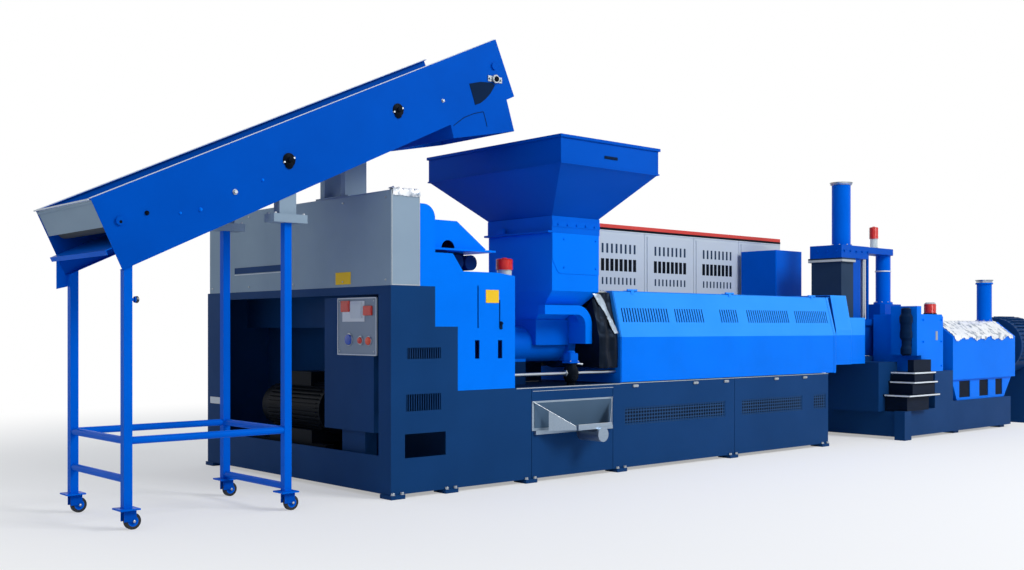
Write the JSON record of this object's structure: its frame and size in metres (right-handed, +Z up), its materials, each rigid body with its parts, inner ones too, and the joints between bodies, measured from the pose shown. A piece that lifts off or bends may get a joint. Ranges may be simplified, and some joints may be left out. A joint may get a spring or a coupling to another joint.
{
  "type": "single screw extruder",
  "caption": "Plastics extruder line: inclined belt feeder, hopper, geared drive, hinged barrel guard, second stage with screen changer, and control cabinets.",
  "frame": {"origin": "on the underside of the front foot at the drive end, at the front left bottom corner of the extruder's base", "axes": "+X along the screw from the drive to the die, +Y from the front to the back, +Z up"},
  "size_m": [12.0402, 3.077, 3.3942],
  "materials": {
    "navy_paint": "satin dark blue machine enamel",
    "blue_paint": "glossy bright blue enamel on sheet steel",
    "grey_paint": "satin blue-grey enamel on sheet steel",
    "light_paint": "fine textured light grey powder coat",
    "red_paint": "satin red powder coat",
    "steel": "machined or brushed bare steel",
    "stainless": "folded stainless sheet, mill finish",
    "beacon": "moulded red lens on a clear base",
    "jacket": "black coated glass cloth, quilted",
    "belt": "grey rubber conveyor belt",
    "black_paint": "satin black enamel",
    "tyre": "moulded black rubber",
    "beacon_foot": "moulded clear plastic, lightly frosted",
    "button_red": "moulded red plastic",
    "button_blue": "moulded blue plastic",
    "plate_yellow": "matt yellow coated sheet, bare of words",
    "foil": "crumpled aluminium foil",
    "mica": "stainless clad heater band"
  },
  "bodies": {
    "machine": {"base_frame": "navy_paint", "base_feet": "navy_paint", "base_grilles": "navy_paint", "drive_housing": "navy_paint", "drive_motor": "black_paint", "drive_hood": "grey_paint", "control_box": "navy_paint", "control_panel": "light_paint", "belt_guard": "blue_paint", "gearbox_cover": "blue_paint", "gearbox_shroud": "blue_paint", "warning_beacons": "beacon", "feed_housing": "blue_paint", "feed_saddle": "blue_paint", "hopper": "blue_paint", "hopper_collar": "blue_paint", "hopper_throat": "blue_paint", "insulation_jacket": "jacket", "barrel": "steel", "heater_bands": "mica", "barrel_supports": "navy_paint", "guard_rear": "blue_paint", "guard_end_cap": "blue_paint", "cooling_valve": "black_paint", "water_pipe": "steel", "discharge_tray": "stainless", "conveyor_sides": "blue_paint", "conveyor_belt": "belt", "conveyor_pulleys": "steel", "conveyor_pan": "blue_paint", "head_chute": "blue_paint", "conveyor_legs": "blue_paint", "conveyor_saddle": "grey_paint", "cabinet_row": "light_paint", "cabinet_top": "red_paint", "cabinet_panels": "light_paint", "hydraulic_cabinet": "blue_paint", "second_base": "navy_paint", "second_gearbox": "blue_paint", "second_cover": "blue_paint", "second_shaft": "steel", "second_motor": "navy_paint", "changer_header": "blue_paint", "changer_body": "navy_paint", "changer_frame": "blue_paint", "changer_rod": "steel", "changer_ram": "blue_paint", "vent_pipes": "blue_paint", "die_stack": "black_paint", "tail_plate": "grey_paint"},
    "guard": {"guard_flap": "blue_paint"},
    "castor_1": {"castor_fork_1": "steel"},
    "wheel_1": {"castor_wheel_1": "tyre"},
    "castor_2": {"castor_fork_2": "steel"},
    "wheel_2": {"castor_wheel_2": "tyre"},
    "castor_3": {"castor_fork_3": "steel"},
    "wheel_3": {"castor_wheel_3": "tyre"},
    "castor_4": {"castor_fork_4": "steel"},
    "wheel_4": {"castor_wheel_4": "tyre"}
  },
  "joints": [
    {"name": "guard_lift", "type": "hinge", "parent": "machine", "child": "guard", "pos_m": [3.95, 0.098, 1.524], "axis": [-1, 0, 0], "range_deg": [0, 80]},
    {"name": "castor_swivel_1", "type": "hinge", "parent": "machine", "child": "castor_1", "pos_m": [-1.86, 0.09, 0.11], "axis": [0, 0, 1], "continuous": true},
    {"name": "wheel_roll_1", "type": "hinge", "parent": "castor_1", "child": "wheel_1", "pos_m": [-1.825, 0.09, 0.05], "axis": [0, 1, 0], "continuous": true},
    {"name": "castor_swivel_2", "type": "hinge", "parent": "machine", "child": "castor_2", "pos_m": [-1.86, 0.93, 0.11], "axis": [0, 0, 1], "continuous": true},
    {"name": "wheel_roll_2", "type": "hinge", "parent": "castor_2", "child": "wheel_2", "pos_m": [-1.825, 0.93, 0.05], "axis": [0, 1, 0], "continuous": true},
    {"name": "castor_swivel_3", "type": "hinge", "parent": "machine", "child": "castor_3", "pos_m": [-0.78, 0.09, 0.11], "axis": [0, 0, 1], "continuous": true},
    {"name": "wheel_roll_3", "type": "hinge", "parent": "castor_3", "child": "wheel_3", "pos_m": [-0.745, 0.09, 0.05], "axis": [0, 1, 0], "continuous": true},
    {"name": "castor_swivel_4", "type": "hinge", "parent": "machine", "child": "castor_4", "pos_m": [-0.78, 0.93, 0.11], "axis": [0, 0, 1], "continuous": true},
    {"name": "wheel_roll_4", "type": "hinge", "parent": "castor_4", "child": "wheel_4", "pos_m": [-0.745, 0.93, 0.05], "axis": [0, 1, 0], "continuous": true}
  ]
}
